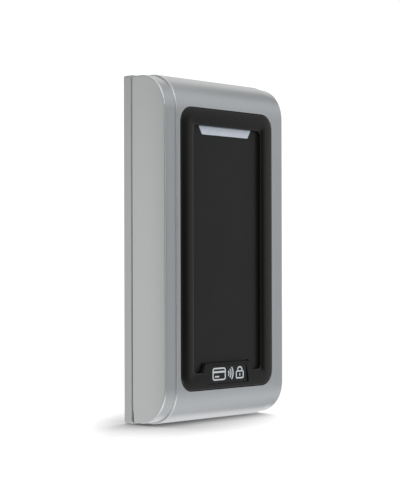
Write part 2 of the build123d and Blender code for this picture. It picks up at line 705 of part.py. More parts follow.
def make_terminal_clamps():
    """Metal cages that grip the wires, one in each entry."""
    cages = []
    for index in range(TERMINAL_COUNT):
        x = terminal_x(index)
        cage = block((x - 1.2, x + 1.2), (BOARD_REAR + 1.45, BOARD_REAR + 3.95), (-44.6, -41.0))
        cage -= block((x - 0.85, x + 0.85), (BOARD_REAR + 1.9, BOARD_REAR + 3.5), (-44.7, -40.9))
        cages.append(cage)
    return Compound(cages)


def make_status_leds():
    z = GUIDE_TOP - GUIDE_HEIGHT / 2
    leds = [block((x - 1.6, x + 1.6), (BOARD_FRONT - 1.2, BOARD_FRONT), (z - 1.3, z + 1.3)) for x in LED_X]
    return Compound(leds)


# ---- Tamper switch ----------------------------------------------------------------
def make_tamper_switch():
    """Low square switch with a guide bore for the plunger."""
    body = on_board(PLUNGER_X, PLUNGER_Z, 7, 7, 2.5)
    return body - rod_y(PLUNGER_X, PLUNGER_Z, 0, BOARD_REAR + 0.5, PLUNGER_RADIUS + PIN_PLAY)


def make_tamper_plunger():
    """Rod from the switch to the wall, with the collar that stops it at the rear cover."""
    rod = rod_y(PLUNGER_X, PLUNGER_Z, -0.2, -14.2, PLUNGER_RADIUS)
    rod = fillet(rod.edges().sort_by(Axis.Y)[-1:], 0.6)
    stop = COVER_FRONT - PLUNGER_TRAVEL - 0.1
    return rod + rod_y(PLUNGER_X, PLUNGER_Z, stop, stop - 0.8, 2.6)


def make_tamper_spring():
    """Compressed return spring under the collar, drawn as three closed rings."""
    rings = []
    for index in range(3):
        y = BOARD_REAR + 2.5 + 0.2 + index * 0.34
        ring = rod_y(PLUNGER_X, PLUNGER_Z, y + 0.3, y, 2.4) - rod_y(PLUNGER_X, PLUNGER_Z, 0, -20, 1.9)
        rings.append(ring)
    return Compound(rings)


# ---- Rear cover -------------------------------------------------------------------
def make_rear_cover():
    cover = slab(cover_outline(0), COVER_REAR, COVER_FRONT)
    cover += rod_y(PLUNGER_X, PLUNGER_Z, COVER_REAR + 1.6, COVER_REAR - 0.1, 3.2)
    window = Rectangle(TERMINAL_COUNT * TERMINAL_PITCH + 1.4, TERMINAL_HEIGHT + 0.8)
    cover -= slab(Pos(0, TERMINAL_Z) * window, 0, -12)
    cover -= rod_y(PLUNGER_X, PLUNGER_Z, 0, -12, PLUNGER_RADIUS + PIN_PLAY)
    for x, z in COVER_BOSSES:
        cover -= rod_y(x, z, 0, -12, 1.4)
    return cover


def make_cover_gasket():
    ring = cover_outline(0.1) - cover_outline(1.6)
    gasket = slab(ring, COVER_FRONT, COVER_FRONT - GASKET_THICKNESS)
    for x, z in COVER_BOSSES:
        gasket -= rod_y(x, z, 0, -12, 1.4)
    return gasket


def make_rear_cover_screws():
    return Compound([pan_screw(x, z, COVER_REAR, 8.5, 1.23, 2.2, 1.6) for x, z in COVER_BOSSES])


# ---- Lock -------------------------------------------------------------------------
def make_lock_insert():
    """Knurled brass insert pressed into the lock boss."""
    low = LOCK_INSERT_TOP - LOCK_INSERT_LENGTH
    body = rod_z(0, LOCK_Y, low, LOCK_INSERT_TOP, 2.28)
    for z in (low + 1.7, low + 3.3):
        body -= rod_z(0, LOCK_Y, z - 0.25, z + 0.25, 2.6) - rod_z(0, LOCK_Y, z - 0.3, z + 0.3, 2.0)
    return body - rod_z(0, LOCK_Y, -70, -60, 1.5)


def make_lock_screw():
    """Button-head locking screw, backed off so that the tongue is free."""
    head_low = -HEIGHT / 2 + 0.4
    head = rod_z(0, LOCK_Y, head_low, head_low + 2.4, 2.8)
    head = fillet(head.edges().sort_by(Axis.Z)[:1], 0.9)
    socket = Plane.XY.offset(head_low - 0.1) * Pos(0, LOCK_Y) * RegularPolygon(1.1, 6)
    head -= extrude(socket, amount=1.6)
    shank = rod_z(0, LOCK_Y, head_low + 2.3, LOCK_BOSS_TOP, LOCK_SCREW_RADIUS)
    shank = chamfer(shank.edges().sort_by(Axis.Z)[-1:], 0.3)
    return head + shank


MAKERS = {
    "back_plate": make_back_plate,
    "cable_grommet": make_cable_grommet,
    "housing": make_housing,
    "insert_frame": make_insert_frame,
    "insert_seal": make_insert_seal,
    "insert_screws": make_insert_screws,
    "face_panel": make_face_panel,
    "badge_plate": make_badge_plate,
    "light_guide": make_light_guide,
    "light_shield": make_light_shield,
    "coil_former": make_coil_former,
    "antenna_coil": make_antenna_coil,
    "ferrite_sheet": make_ferrite_sheet,
    "antenna_leads": make_antenna_leads,
    "main_board": make_main_board,
    "board_screws": make_board_screws,
    "controller_chip": make_controller_chip,
    "rf_chip": make_rf_chip,
    "interface_chip": make_interface_chip,
    "crystal": make_crystal,
    "voltage_regulator": make_voltage_regulator,
    "power_capacitor": make_power_capacitor,
    "tuning_capacitors": make_tuning_capacitors,
    "resistors": make_resistors,
    "protection_diodes": make_protection_diodes,
    "buzzer": make_buzzer,
    "terminal_block": make_terminal_block,
    "terminal_screws": make_terminal_screws,
    "terminal_clamps": make_terminal_clamps,
    "status_leds": make_status_leds,
    "tamper_switch": make_tamper_switch,
    "tamper_plunger": make_tamper_plunger,
    "tamper_spring": make_tamper_spring,
    "rear_cover": make_rear_cover,
    "cover_gasket": make_cover_gasket,
    "rear_cover_screws": make_rear_cover_screws,
    "lock_insert": make_lock_insert,
    "lock_screw": make_lock_screw,
}

os.makedirs("parts", exist_ok=True)
for node, maker in MAKERS.items():
    save(node, maker())
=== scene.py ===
import json
import math

import bmesh
import bpy
from mathutils import Euler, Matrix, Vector


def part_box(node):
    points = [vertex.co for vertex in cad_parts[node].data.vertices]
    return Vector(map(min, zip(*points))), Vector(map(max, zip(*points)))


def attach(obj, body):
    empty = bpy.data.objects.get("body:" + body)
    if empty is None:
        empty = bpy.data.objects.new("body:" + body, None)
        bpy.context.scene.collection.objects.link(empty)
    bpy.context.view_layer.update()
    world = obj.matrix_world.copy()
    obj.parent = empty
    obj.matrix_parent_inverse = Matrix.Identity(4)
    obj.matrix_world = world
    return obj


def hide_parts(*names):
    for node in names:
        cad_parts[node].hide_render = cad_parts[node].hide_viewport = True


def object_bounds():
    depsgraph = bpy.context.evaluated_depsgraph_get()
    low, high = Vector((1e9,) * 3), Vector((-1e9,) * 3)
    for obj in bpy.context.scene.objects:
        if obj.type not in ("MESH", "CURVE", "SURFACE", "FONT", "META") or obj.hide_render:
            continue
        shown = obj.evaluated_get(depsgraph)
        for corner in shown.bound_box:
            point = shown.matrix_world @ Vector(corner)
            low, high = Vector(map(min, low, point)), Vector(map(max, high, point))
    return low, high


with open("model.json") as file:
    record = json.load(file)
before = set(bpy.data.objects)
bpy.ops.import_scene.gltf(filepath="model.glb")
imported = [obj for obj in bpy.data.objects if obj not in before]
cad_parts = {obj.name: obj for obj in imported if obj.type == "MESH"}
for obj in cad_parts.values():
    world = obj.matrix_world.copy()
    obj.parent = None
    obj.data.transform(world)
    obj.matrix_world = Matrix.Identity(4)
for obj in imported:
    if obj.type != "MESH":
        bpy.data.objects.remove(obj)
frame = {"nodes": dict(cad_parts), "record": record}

cad_low, cad_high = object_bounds()
nodes = frame["nodes"]
scene = bpy.context.scene
MM = 0.001


# ---- Camera -------------------------------------------------------------------------
CAMERA_PLACE = (-0.4317, -0.4407, -0.0083)
CAMERA_TURN, CAMERA_ROLL = -45, 0.14     # degrees
LENS, SENSOR_WIDTH = 98.6, 36.0          # millimetres
SHIFT_X, SHIFT_Y = -0.0004, 0.0371
CLIP_START, CLIP_END = 0.05, 50.0


def make_camera():
    """Level long-lens camera, 45 degrees to the left of the reader's front."""
    data = bpy.data.cameras.new("camera")
    data.lens = LENS
    data.sensor_width = SENSOR_WIDTH
    data.shift_x = SHIFT_X
    data.shift_y = SHIFT_Y
    data.clip_start = CLIP_START
    data.clip_end = CLIP_END
    camera = bpy.data.objects.new("camera", data)
    camera.location = CAMERA_PLACE
    turn = [math.radians(angle) for angle in (90, CAMERA_ROLL, CAMERA_TURN)]
    camera.rotation_euler = Euler(turn, "YXZ")
    scene.collection.objects.link(camera)
    scene.camera = camera


# ---- Materials ------------------------------------------------------------------------
def new_material(name, **sockets):
    """Material with one Principled shader; sockets are set by their names with _ for spaces."""
    material = bpy.data.materials.new(name)
    material.use_nodes = True
    shader = shader_of(material)
    for key, value in sockets.items():
        shader.inputs[key.replace("_", " ")].default_value = value
    return material


def shader_of(material):
    return material.node_tree.nodes["Principled BSDF"]


def object_noise(material, scale, detail=3.0, roughness=0.5, stretch=(1, 1, 1)):
    """Noise texture in object coordinates; scale is in cycles per metre, stretch lengthens it."""
    tree = material.node_tree
    place = tree.nodes.new("ShaderNodeTexCoord")
    mapping = tree.nodes.new("ShaderNodeMapping")
    mapping.inputs["Scale"].default_value = [1 / value for value in stretch]
    noise = tree.nodes.new("ShaderNodeTexNoise")
    noise.inputs["Scale"].default_value = scale
    noise.inputs["Detail"].default_value = detail
    noise.inputs["Roughness"].default_value = roughness
    tree.links.new(place.outputs["Object"], mapping.inputs["Vector"])
    tree.links.new(mapping.outputs["Vector"], noise.inputs["Vector"])
    return noise.outputs["Fac"]


def vary_colour(material, value, low, high, start=0.3, stop=0.7):
    """Base colour between two tones, driven by value."""
    tree = material.node_tree
    ramp = tree.nodes.new("ShaderNodeValToRGB")
    ramp.color_ramp.elements[0].position = start
    ramp.color_ramp.elements[1].position = stop
    ramp.color_ramp.elements[0].color = (*low, 1)
    ramp.color_ramp.elements[1].color = (*high, 1)
    tree.links.new(value, ramp.inputs["Fac"])
    tree.links.new(ramp.outputs["Color"], shader_of(material).inputs["Base Color"])


def vary_roughness(material, value, low, high):
    """Roughness between low and high, driven by value."""
    tree = material.node_tree
    span = tree.nodes.new("ShaderNodeMapRange")
    span.inputs["To Min"].default_value = low
    span.inputs["To Max"].default_value = high
    tree.links.new(value, span.inputs["Value"])
    tree.links.new(span.outputs["Result"], shader_of(material).inputs["Roughness"])


def add_bump(material, value, strength, distance):
    """Bump from value; distance is in metres."""
    tree = material.node_tree
    bump = tree.nodes.new("ShaderNodeBump")
    bump.inputs["Strength"].default_value = strength
    bump.inputs["Distance"].default_value = distance
    tree.links.new(value, bump.inputs["Height"])
    tree.links.new(bump.outputs["Normal"], shader_of(material).inputs["Normal"])


SILVER_DARK = (0.450, 0.457, 0.460)
SILVER_LIGHT = (0.545, 0.552, 0.555)


def silver_paint(name, tone):
    """Satin metallic paint: fine flake, slight orange peel, thin clear coat."""
    material = new_material(name, Metallic=0.75, Coat_Weight=0.2, Coat_Roughness=0.2)
    flake = object_noise(material, 9000, 2.0)
    dark, light = ([value * tone for value in colour] for colour in (SILVER_DARK, SILVER_LIGHT))
    vary_colour(material, flake, dark, light)
    vary_roughness(material, flake, 0.26, 0.34)
    add_bump(material, object_noise(material, 900, 2.0), 0.08, 0.00004)
    return material


def black_satin():
    """Moulded black plastic with a fine spark-eroded grain."""
    material = new_material("black_satin", Specular_IOR_Level=0.33, Specular_Tint=(1.0, 0.97, 0.90, 1))
    grain = object_noise(material, 5200, 3.0)
    vary_colour(material, grain, (0.0042, 0.0041, 0.0036), (0.0066, 0.0064, 0.0056))
    vary_roughness(material, grain, 0.09, 0.14)
    add_bump(material, grain, 0.2, 0.00002)
    return material


def dark_film():
    """Smooth dark film of the window."""
    material = new_material("dark_film", Specular_IOR_Level=0.32, Specular_Tint=(1.0, 0.98, 0.94, 1))
    cloud = object_noise(material, 60, 3.0)
    vary_colour(material, cloud, (0.0085, 0.0082, 0.0076), (0.0105, 0.0102, 0.0095))
    fine = object_noise(material, 2600, 3.0)
    vary_roughness(material, fine, 0.34, 0.42)
    add_bump(material, fine, 0.08, 0.00001)
    return material


def milky_diffuser():
    """Translucent light guide with a bluish cast."""
    material = new_material("milky_diffuser", Roughness=0.4, Subsurface_Weight=0.2, Subsurface_Scale=0.002)
    vary_colour(material, object_noise(material, 300, 3.0), (0.66, 0.70, 0.77), (0.70, 0.74, 0.81))
    return material


def plain(name, low, high, scale=800, rough=(0.4, 0.55), bump=0.0, **sockets):
    """Material whose colour and roughness follow one noise."""
    material = new_material(name, **sockets)
    value = object_noise(material, scale, 4.0)
    vary_colour(material, value, low, high)
    vary_roughness(material, value, *rough)
    if bump:
        add_bump(material, value, bump, 0.00003)
    return material


def turned_metal(name, low, high, rough, stretch=(1, 1, 14)):
    """Bare metal with fine drawn or turned lines."""
    material = new_material(name, Metallic=1.0)
    lines = object_noise(material, 9000, 3.0, 0.6, stretch)
    vary_colour(material, lines, low, high)
    vary_roughness(material, lines, *rough)
    add_bump(material, lines, 0.15, 0.00002)
    return material


MATERIALS = {
    "housing_paint": silver_paint("silver_paint", 1.0),
    "black_plastic": black_satin(),
    "window_film": dark_film(),
    "diffuser": milky_diffuser(),
    "badge_film": plain("badge_plate", (0.007, 0.0078, 0.0085), (0.010, 0.011, 0.012), 3000,
                        (0.3, 0.4), 0.1, Specular_IOR_Level=0.32),
    "rubber_black": plain("rubber_black", (0.012, 0.012, 0.012), (0.022, 0.022, 0.022), 2500,
                          (0.65, 0.8), 0.3),
    "copper_wire": turned_metal("copper_wire", (0.50, 0.16, 0.06), (0.62, 0.24, 0.10),
                                (0.2, 0.3), (14, 1, 14)),
    "ferrite": plain("ferrite", (0.018, 0.018, 0.02), (0.035, 0.035, 0.038), 2500, (0.55, 0.7), 0.2),
    "former_white": plain("former_white", (0.55, 0.54, 0.49), (0.62, 0.61, 0.56), 500,
                          (0.45, 0.55), 0.1),
    "board_green": plain("board_green", (0.004, 0.045, 0.018), (0.008, 0.065, 0.028), 1500,
                         (0.25, 0.35), 0.1),
    "chip_black": plain("chip_black", (0.010, 0.010, 0.011), (0.018, 0.018, 0.019), 5000,
                        (0.5, 0.65), 0.3),
    "can_metal": turned_metal("can_metal", (0.60, 0.60, 0.62), (0.72, 0.72, 0.74), (0.25, 0.35)),
    "ceramic": plain("ceramic", (0.34, 0.22, 0.12), (0.42, 0.29, 0.17), 3000, (0.35, 0.5), 0.1),
    "led_lens": plain("led_lens", (0.66, 0.64, 0.50), (0.74, 0.72, 0.58), 900, (0.2, 0.3)),
    "terminal_green": plain("terminal_green", (0.02, 0.16, 0.06), (0.03, 0.21, 0.08), 1500,
                            (0.4, 0.5), 0.1),
    "zinc_steel": turned_metal("zinc_steel", (0.50, 0.52, 0.55), (0.62, 0.63, 0.64), (0.25, 0.4)),
    "stainless": turned_metal("stainless", (0.46, 0.46, 0.47), (0.60, 0.60, 0.60), (0.22, 0.34)),
    "brass": turned_metal("brass", (0.58, 0.38, 0.12), (0.70, 0.50, 0.18), (0.25, 0.38)),
    "tamper_white": plain("tamper_white", (0.62, 0.62, 0.60), (0.70, 0.70, 0.68), 900,
                          (0.4, 0.5), 0.1),
}
PLATE_PAINT = silver_paint("plate_paint", 0.87)
MASKED_COPPER = plain("masked_copper", (0.012, 0.10, 0.042), (0.018, 0.125, 0.052), 1500,
                      (0.22, 0.32), 0.1)
WHITE_PRINT = plain("white_print", (0.66, 0.68, 0.70), (0.74, 0.76, 0.78), 4000,
                    (0.45, 0.6), 0.1)


def dress_cad_nodes():
    """Give every CAD node the material of its slot in the record."""
    for entry in frame["record"]["subparts"]:
        piece = nodes[entry["node"]]
        piece.data.materials.clear()
        piece.data.materials.append(MATERIALS[entry["material_slot"]])
    nodes["back_plate"].data.materials[0] = PLATE_PAINT


# ---- Mesh helpers ---------------------------------------------------------------------
def add_piece(name, mesh, body, slot, material=None):
    """Link a mesh as a piece that rides on a body and takes a record slot's finish."""
    piece = bpy.data.objects.new(name, mesh)
    scene.collection.objects.link(piece)
    mesh.materials.append(material or MATERIALS[slot])
    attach(piece, body)
    return piece


def rounded_ring(width, height, radius, y, steps=12):
    """Points of a front-view rounded rectangle at depth y, anticlockwise from the right."""
    points = []
    for quarter, (sx, sz) in enumerate(((1, 1), (-1, 1), (-1, -1), (1, -1))):
        for index in range(steps + 1):
            angle = math.radians(90 * (quarter + index / steps))
            x = sx * (width / 2 - radius) + radius * math.cos(angle)
            z = sz * (height / 2 - radius) + radius * math.sin(angle)
            points.append((x, y, z))
    return points


def mesh_from(shape, name):
    """Mesh of a closed bmesh, its faces turned outwards."""
    bmesh.ops.recalc_face_normals(shape, faces=shape.faces)
    mesh = bpy.data.meshes.new(name)
    shape.to_mesh(mesh)
    shape.free()
    return mesh


def skin(rings):
    """Closed mesh through rings of equally many points, capped at both ends; sizes in millimetres."""
    shape = bmesh.new()
    rows = [[shape.verts.new([value * MM for value in point]) for point in ring] for ring in rings]
    for row, above in zip(rows, rows[1:]):
        for index in range(len(row)):
            follow = (index + 1) % len(row)
            shape.faces.new((row[index], row[follow], above[follow], above[index]))
    shape.faces.new(reversed(rows[0]))
    shape.faces.new(rows[-1])
    return mesh_from(shape, "skin")


def smooth(mesh, angle):
    """Smooth shading with edges sharper than angle, in degrees, kept crisp."""
    mesh.polygons.foreach_set("use_smooth", [True] * len(mesh.polygons))
    mesh.set_sharp_from_angle(angle=math.radians(angle))


def cut(piece, mesh):
    """Subtract a closed mesh from a piece."""
    tool = bpy.data.objects.new("cutter", mesh)
    scene.collection.objects.link(tool)
    modifier = piece.modifiers.new("cut", "BOOLEAN")
    modifier.operation = "DIFFERENCE"
    modifier.solver = "EXACT"
    modifier.object = tool
    bpy.context.view_layer.update()
    graph = bpy.context.evaluated_depsgraph_get()
    result = bpy.data.meshes.new_from_object(piece.evaluated_get(graph))
    piece.modifiers.clear()
    materials = list(piece.data.materials)
    piece.data = result
    result.materials.clear()
    for material in materials:
        result.materials.append(material)
    bpy.data.objects.remove(tool)


def prism(outline, y_rear, y_front):
    """Closed prism between two depths; outline is a list of (x, z) in millimetres."""
    return skin([[(x, y, z) for x, z in outline] for y in (y_rear, y_front)])


# ---- Black window insert --------------------------------------------------------------
# Sizes are in millimetres. Depths are Y values: the wall is at zero and the front is negative.
panel_low, panel_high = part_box("face_panel")
insert_low, insert_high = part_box("insert_frame")
badge_low, badge_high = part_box("badge_plate")
PANEL_PLAY = 0.2
RECESS_WIDTH = (panel_high.x - panel_low.x) / MM + PANEL_PLAY
RECESS_HEIGHT = (panel_high.z - panel_low.z) / MM + PANEL_PLAY
PANEL_REAR = panel_high.y / MM
CREST = insert_low.y / MM            # depth of the border's crest, the frontmost line
BORDER = 7.6                         # width of the convex border round the recess
BODY_RADIUS = 6.65                   # corner radius of the border's outer edge
CREST_AT = 4.6                       # from the outer edge to the crest
EDGE_FALL = 0.5                      # the border's outer edge lies this far behind the crest
INNER_FALL = 0.35                    # and its inner edge this far
FLANGE_REAR, FLANGE_FRONT = -19.3, -20.9     # depths of the flange behind the housing's wall
FLANGE_RADIUS = 4
POCKET_FLOOR = -22.4                 # depth of the hollow in the insert's rear
POCKET_INSET, POCKET_RADIUS = 2, 5
OUTER_FILLET = 1.0
OUTER_TURN = 79                      # degrees that the outer edge turns from the wall towards the face
RECESS_FILLET = 0.45
RECESS_TURN = 15                     # degrees at which that fillet leaves the border's face
RECESS_RADIUS = 1.5
BADGE_TAPER, BADGE_PLAY = 1.2, 0.15
GUIDE_TAPER, GUIDE_PLAY = 1.9, 0.1
GUIDE_SLOT_REAR = -18                # depth at which the light guide's slot starts


def border_fall(inset):
    """How far the border's surface lies behind its crest at a distance from its outer edge."""
    if inset < CREST_AT:
        return EDGE_FALL * ((CREST_AT - inset) / CREST_AT) ** 2
    return INNER_FALL * ((inset - CREST_AT) / (BORDER - CREST_AT)) ** 2


def insert_rings():
    """Rings of the insert, from its rear pocket round the flange and the body to the recess."""
    width = RECESS_WIDTH + 2 * BORDER
    height = RECESS_HEIGHT + 2 * BORDER

    def ring(inset, y, radius):
        return rounded_ring(width - 2 * inset, height - 2 * inset, radius, y)

    def flange_ring(y):
        return rounded_ring(2 * insert_high.x / MM, 2 * insert_high.z / MM, FLANGE_RADIUS, y)

    rings = [
        ring(POCKET_INSET, POCKET_FLOOR, POCKET_RADIUS), ring(POCKET_INSET, FLANGE_REAR, POCKET_RADIUS),
        flange_ring(FLANGE_REAR), flange_ring(FLANGE_FRONT), ring(0, FLANGE_FRONT, BODY_RADIUS),
    ]
    fillet = OUTER_FILLET
    steps = 10
    for index in range(steps + 1):
        angle = math.radians(OUTER_TURN * index / steps)
        inset = fillet * (1 - math.cos(angle))
        y = CREST + border_fall(fillet) + fillet * (1 - math.sin(angle))
        rings.append(ring(inset, y, BODY_RADIUS - inset))
    steps = 22
    for index in range(1, steps):
        inset = fillet + (BORDER - fillet - RECESS_FILLET) * index / steps
        rings.append(ring(inset, CREST + border_fall(inset), max(BODY_RADIUS - inset, RECESS_RADIUS)))
    steps = 4
    for index in range(steps + 1):
        angle = math.radians(RECESS_TURN + (90 - RECESS_TURN) * index / steps)
        inset = BORDER - RECESS_FILLET * (1 - math.sin(angle))
        y = CREST + INNER_FALL + RECESS_FILLET * (1 - math.cos(angle))
        rings.append(ring(inset, y, RECESS_RADIUS))
    rings.append(ring(BORDER, PANEL_REAR, RECESS_RADIUS))
    return rings


def badge_outline(play):
    """Trapezoid of the badge, grown by play; it is narrower at the top."""
    low, high = badge_low.z / MM - play, badge_high.z / MM + play
    half = badge_high.x / MM + play
    return [(half, low), (half - BADGE_TAPER, high), (-half + BADGE_TAPER, high), (-half, low)]


def make_insert():
    """Convex black border with its flange and rear pocket, in place of the plain insert."""
    insert = add_piece("window_insert", skin(insert_rings()), "reader", "black_plastic")
    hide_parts("insert_frame")
    cut(insert, prism(badge_outline(BADGE_PLAY), badge_high.y / MM, CREST - 1))
    guide_low, guide_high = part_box("light_guide")
    half = guide_high.x / MM + GUIDE_PLAY
    low, high = guide_low.z / MM - GUIDE_PLAY, guide_high.z / MM + GUIDE_PLAY
    slot = [(half - GUIDE_TAPER, low), (half, high), (-half, high), (-half + GUIDE_TAPER, low)]
    cut(insert, prism(slot, GUIDE_SLOT_REAR, PANEL_REAR - 1))
    smooth(insert.data, 30)
    return insert


TAB_ROOT, TAB_HEIGHT = 0.6, 3.9      # below the recess's edge, and above it
TAB_HALF_FOOT, TAB_HALF_TOP = 16.5, 14.3
TAB_FOOT_FALL, TAB_TOP_FALL = 0.22, 0.5    # how far its face lies behind the border's crest
TAB_SIDE_SLOPE, TAB_TOP_SLOPE = 0.35, 0.15
# Section of the tab's edge, as shares of its slope and of its height.
TAB_EDGE = ((0, 0), (0, 0.12), (0.25, 0.4), (0.55, 0.75), (0.8, 0.93), (1, 1))


def make_insert_tab():
    """Raised tab with sloped sides and the badge's pocket; it carries the badge up into the recess."""
    foot = -RECESS_HEIGHT / 2 - TAB_ROOT
    top = foot + TAB_ROOT + TAB_HEIGHT
    face_foot, face_top = CREST + TAB_FOOT_FALL, CREST + TAB_TOP_FALL
    rows = []
    for inward, rise in TAB_EDGE:
        in_side, in_top = TAB_SIDE_SLOPE * inward, TAB_TOP_SLOPE * inward
        half_foot, half_top = TAB_HALF_FOOT - in_side, TAB_HALF_TOP - in_side
        y_foot = PANEL_REAR + (face_foot - PANEL_REAR) * rise
        y_top = PANEL_REAR + (face_top - PANEL_REAR) * rise
        rows.append([
            (half_foot, y_foot, foot), (half_top, y_top, top - in_top),
            (-half_top, y_top, top - in_top), (-half_foot, y_foot, foot),
        ])
    tab = add_piece("insert_tab", skin(rows), "reader", "black_plastic")
    cut(tab, prism(badge_outline(BADGE_PLAY), badge_high.y / MM, CREST - 1))
    smooth(tab.data, 40)
    return tab


# ---- Printed pictogram ----------------------------------------------------------------
PRINT_DEPTH = 0.03
PRINT_GAP = 0.005                    # between the badge's face and the print's rear
PRINT_LINE, PRINT_STRIPE = 0.62, 0.8
PRINT_RAISE = 0.2                    # above the middle of the badge
CARD_X, CARD_SIZE = -5.6, (7.6, 4.9, 0.9)    # size: width, height and corner radius
STRIPE_HALF, STRIPE_RISE = 3.4, 0.9          # magnetic stripe of the card
TEXT_LEFT, TEXT_DROP = 2.6, 1.1              # plain line on the card, from its middle
WAVE_X, WAVE_RADII, WAVE_TURN = -1.2, (1.7, 3.0, 4.3), 38
LOCK_X, LOCK_SIZE, LOCK_DROP = 7.4, (4.4, 3.0, 0.5), 0.85
KEYHOLE_TOP, KEYHOLE_FOOT = 0.3, 1.4
SHACKLE_RADIUS, SHACKLE_FOOT, SHACKLE_BEND = 1.4, 0.7, 1.1


def stroke(shape, points, width, y, closed=False):
    """Flat ribbon of constant width along points (x, z), standing PRINT_DEPTH in front of y."""
    count = len(points)
    pairs = []
    for index, (x, z) in enumerate(points):
        before = points[(index - 1) % count] if closed or index else points[index]
        after = points[(index + 1) % count] if closed or index < count - 1 else points[index]
        along = Vector((after[0] - before[0], after[1] - before[1])).normalized()
        side = Vector((-along.y, along.x)) * width / 2
        pairs.append(((x + side.x, z + side.y), (x - side.x, z - side.y)))
    rows = []
    for left, right in pairs:
        corners = [
            (left[0], y, left[1]), (right[0], y, right[1]),
            (right[0], y - PRINT_DEPTH, right[1]), (left[0], y - PRINT_DEPTH, left[1]),
        ]
        rows.append([shape.verts.new([value * MM for value in corner]) for corner in corners])
    spans = list(zip(rows, rows[1:]))
    if closed:
        spans.append((rows[-1], rows[0]))
    else:
        shape.faces.new(reversed(rows[0]))
        shape.faces.new(rows[-1])
    for row, follow in spans:
        for index in range(4):
            other = (index + 1) % 4
            shape.faces.new((row[index], row[other], follow[other], follow[index]))


def arc(x, z, radius, start, stop, steps=12):
    """Points (x, z) of an arc, angles in degrees."""
    angles = [math.radians(start + (stop - start) * index / steps) for index in range(steps + 1)]
    return [(x + radius * math.cos(angle), z + radius * math.sin(angle)) for angle in angles]


def make_pictogram():
    """White print on the badge: a card, three waves and a padlock."""
    y = badge_low.y / MM - PRINT_GAP
    middle = (badge_low.z + badge_high.z) / 2 / MM + PRINT_RAISE
    line = PRINT_LINE
    shape = bmesh.new()
    card = [(point[0] + CARD_X, point[2] + middle) for point in rounded_ring(*CARD_SIZE, 0, 4)]
    stroke(shape, card, line, y, closed=True)
    stripe = middle + STRIPE_RISE
    stroke(shape, [(CARD_X - STRIPE_HALF, stripe), (CARD_X + STRIPE_HALF, stripe)], PRINT_STRIPE, y)
    stroke(shape, [(CARD_X - TEXT_LEFT, middle - TEXT_DROP), (CARD_X, middle - TEXT_DROP)], line, y)
    for radius in WAVE_RADII:
        stroke(shape, arc(WAVE_X, middle, radius, -WAVE_TURN, WAVE_TURN), line, y)
    ring = rounded_ring(*LOCK_SIZE, 0, 3)
    body = [(point[0] + LOCK_X, point[2] + middle - LOCK_DROP) for point in ring]
    stroke(shape, body, line, y, closed=True)
    stroke(shape, [(LOCK_X, middle - KEYHOLE_TOP), (LOCK_X, middle - KEYHOLE_FOOT)], line, y)
    shackle = arc(LOCK_X, middle + SHACKLE_BEND, SHACKLE_RADIUS, 180, 0, 10)
    left, right = LOCK_X - SHACKLE_RADIUS, LOCK_X + SHACKLE_RADIUS
    stroke(shape, [(left, middle + SHACKLE_FOOT), *shackle, (right, middle + SHACKLE_FOOT)], line, y)
    add_piece("printed_pictogram", mesh_from(shape, "pictogram"), "reader", "badge_film", WHITE_PRINT)


# ---- Details inside -------------------------------------------------------------------
def wire_rings(points, radius, sides=6):
    """Rings of a round wire along points; the wire never runs along Y."""
    rings = []
    for index, point in enumerate(points):
        before = Vector(points[max(index - 1, 0)])
        after = Vector(points[min(index + 1, len(points) - 1)])
        along = (after - before).normalized()
        side = along.cross(Vector((0, 1, 0))).normalized()
        up = side.cross(along)
        angles = [2 * math.pi * step / sides for step in range(sides)]
        rings.append([Vector(point) + radius * (math.cos(a) * side + math.sin(a) * up) for a in angles])
    return rings


def join(meshes):
    """One mesh out of several."""
    shape = bmesh.new()
    for mesh in meshes:
        shape.from_mesh(mesh)
        bpy.data.meshes.remove(mesh)
    result = bpy.data.meshes.new("joined")
    shape.to_mesh(result)
    shape.free()
    return result


COIL_LAYERS, COIL_TURNS = 4, 9
COIL_BAND = 3.1                      # width of the wound band
COIL_RADIUS = 6.5                    # of its outer corners
COIL_WIRE = 0.15
COIL_STEP_IN = 0.9                   # share of a pitch that one turn moves inwards before the next one


def make_antenna_turns():
    """Enamelled wire wound flat in layers, in place of the plain coil."""
    low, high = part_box("antenna_coil")
    middle = (low.z + high.z) / 2 / MM
    pitch = COIL_BAND / COIL_TURNS
    layer_pitch = (high.y - low.y) / MM / COIL_LAYERS
    steps = 4
    count = 4 * (steps + 1)
    layer_meshes = []
    for layer in range(COIL_LAYERS):
        y = low.y / MM + layer_pitch * (layer + 0.5)
        points = []
        for turn in range(COIL_TURNS):
            for index in range(count):
                inset = COIL_BAND - pitch * (turn + 0.5 + COIL_STEP_IN * index / count)
                width, height = 2 * (high.x / MM - inset), (high.z - low.z) / MM - 2 * inset
                x, depth, z = rounded_ring(width, height, COIL_RADIUS - inset, y, steps)[index]
                points.append((x, depth, z + middle))
        layer_meshes.append(skin(wire_rings(points, COIL_WIRE)))
    mesh = join(layer_meshes)
    smooth(mesh, 60)
    piece = add_piece("antenna_turns", mesh, "reader", "copper_wire")
    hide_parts("antenna_coil")


SPRING_WIRE, SPRING_TURNS = 0.15, 3


def make_spring_coil():
    """Wound return spring of the tamper plunger."""
    low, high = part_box("tamper_spring")
    x, z = (low.x + high.x) / 2 / MM, (low.z + high.z) / 2 / MM
    radius = (high.x - low.x) / 2 / MM - SPRING_WIRE
    height = (high.y - low.y) / MM - 2 * SPRING_WIRE
    steps = 28
    count = SPRING_TURNS * steps
    points = []
    for index in range(count + 1):
        angle = 2 * math.pi * index / steps
        y = low.y / MM + SPRING_WIRE + height * index / count
        points.append((x + radius * math.cos(angle), y, z + radius * math.sin(angle)))
    mesh = skin(wire_rings(points, SPRING_WIRE, 8))
    smooth(mesh, 60)
    piece = add_piece("spring_coil", mesh, "reader", "stainless")
    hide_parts("tamper_spring")


END_PROUD = 0.02                     # how far a tinned end stands out of its component
END_RADIUS = 0.08
END_LIFT = 0.01


